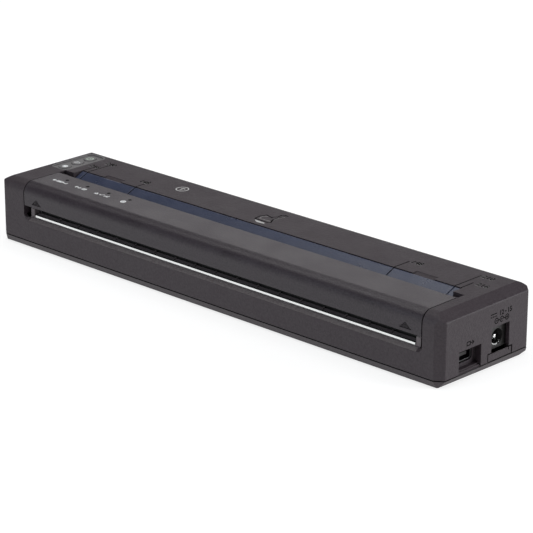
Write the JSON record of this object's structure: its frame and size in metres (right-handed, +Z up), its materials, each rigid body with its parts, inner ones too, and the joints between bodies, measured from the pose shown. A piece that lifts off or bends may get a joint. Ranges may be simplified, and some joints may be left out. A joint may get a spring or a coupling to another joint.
{
  "type": "a4 portable thermal printer",
  "caption": "Slim bar-shaped portable page printer with a hinged release cover, platen roller and gear train, print head, push buttons, end connectors and a slide-out battery.",
  "frame": {"origin": "centre of the footprint, on the surface the printer stands on", "axes": "+X along the case towards the end with the connectors, +Y from the paper exit to the rear, +Z up"},
  "size_m": [0.255, 0.055, 0.03],
  "materials": {
    "case_plastic": "fine moulded texture",
    "cover_plastic": "fine moulded texture",
    "panel_plastic": "satin",
    "inner_plastic": "fine moulded texture",
    "guide_plastic": "fine moulded texture",
    "gear_plastic": "natural",
    "steel": "rolled",
    "bright_steel": "polished",
    "aluminium": "extruded",
    "brass": "plated",
    "rubber": "ground",
    "board": "coated",
    "ceramic": "glazed",
    "lens": "smooth",
    "spring_steel": "tempered"
  },
  "bodies": {
    "case": {"upper_housing": "case_plastic", "lower_case": "case_plastic", "rubber_feet": "rubber", "hinge_pin_left": "steel", "hinge_pin_right": "steel", "paper_guide": "guide_plastic", "exit_frame": "inner_plastic", "tear_bar": "bright_steel", "chassis_plate": "steel", "side_frame_left": "steel", "side_frame_right": "steel", "platen_bush_left": "gear_plastic", "platen_bush_right": "gear_plastic", "idler_shaft": "steel", "motor_body": "steel", "head_springs": "spring_steel", "main_board": "board", "usb_shell": "steel", "usb_tongue": "inner_plastic", "jack_body": "inner_plastic", "jack_pin": "bright_steel", "jack_contact": "bright_steel", "jack_sill": "case_plastic", "paper_sensor": "inner_plastic", "button_panel": "panel_plastic", "switch_board": "board", "battery_bay": "inner_plastic", "battery_contacts": "brass"},
    "cover": {"release_cover": "cover_plastic", "indicator_lenses": "lens"},
    "platen": {"platen_rubber": "rubber", "platen_shaft": "steel", "platen_gear": "gear_plastic"},
    "idler": {"idler_gear": "gear_plastic"},
    "pinion": {"motor_pinion": "brass"},
    "print_head": {"head_heat_sink": "aluminium", "head_substrate": "ceramic", "head_driver_cover": "inner_plastic"},
    "function_button": {"button_function": "panel_plastic"},
    "feed_button": {"button_feed": "panel_plastic"},
    "power_button": {"button_power": "panel_plastic"},
    "battery_pack": {"battery_case": "inner_plastic", "battery_panel": "case_plastic"}
  },
  "joints": [
    {"name": "cover_hinge", "type": "hinge", "parent": "case", "child": "cover", "pos_m": [0.0034, -0.0045, 0.0273], "axis": [-1, 0, 0], "range_deg": [0, 75]},
    {"name": "platen_spin", "type": "hinge", "parent": "case", "child": "platen", "pos_m": [0.0034, -0.0145, 0.0222], "axis": [1, 0, 0], "continuous": true},
    {"name": "idler_spin", "type": "hinge", "parent": "case", "child": "idler", "pos_m": [-0.1086, -0.00775, 0.01545], "axis": [1, 0, 0], "continuous": true},
    {"name": "pinion_spin", "type": "hinge", "parent": "case", "child": "pinion", "pos_m": [-0.1086, 0.00474, 0.0142], "axis": [1, 0, 0], "continuous": true},
    {"name": "head_lift", "type": "hinge", "parent": "case", "child": "print_head", "pos_m": [0.0034, -0.0094, 0.0112], "axis": [1, 0, 0], "range_deg": [0, 2], "stiffness_Nm_per_rad": 6, "springref_deg": -4.58, "deforming": ["head_springs"]},
    {"name": "function_key", "type": "slide", "parent": "case", "child": "function_button", "axis": [0, 0, -1], "range_m": [0, 0.00035], "stiffness_N_per_m": 400, "springref_m": -0.0005},
    {"name": "feed_key", "type": "slide", "parent": "case", "child": "feed_button", "axis": [0, 0, -1], "range_m": [0, 0.00035], "stiffness_N_per_m": 400, "springref_m": -0.0005},
    {"name": "power_key", "type": "slide", "parent": "case", "child": "power_button", "axis": [0, 0, -1], "range_m": [0, 0.00035], "stiffness_N_per_m": 400, "springref_m": -0.0005},
    {"name": "battery_slide", "type": "slide", "parent": "case", "child": "battery_pack", "axis": [0, 1, 0], "range_m": [0, 0.024]}
  ],
  "couplings": [
    {"joint": "idler_spin", "follows": "platen_spin", "ratio": -1.1111},
    {"joint": "pinion_spin", "follows": "platen_spin", "ratio": 2.8571}
  ]
}
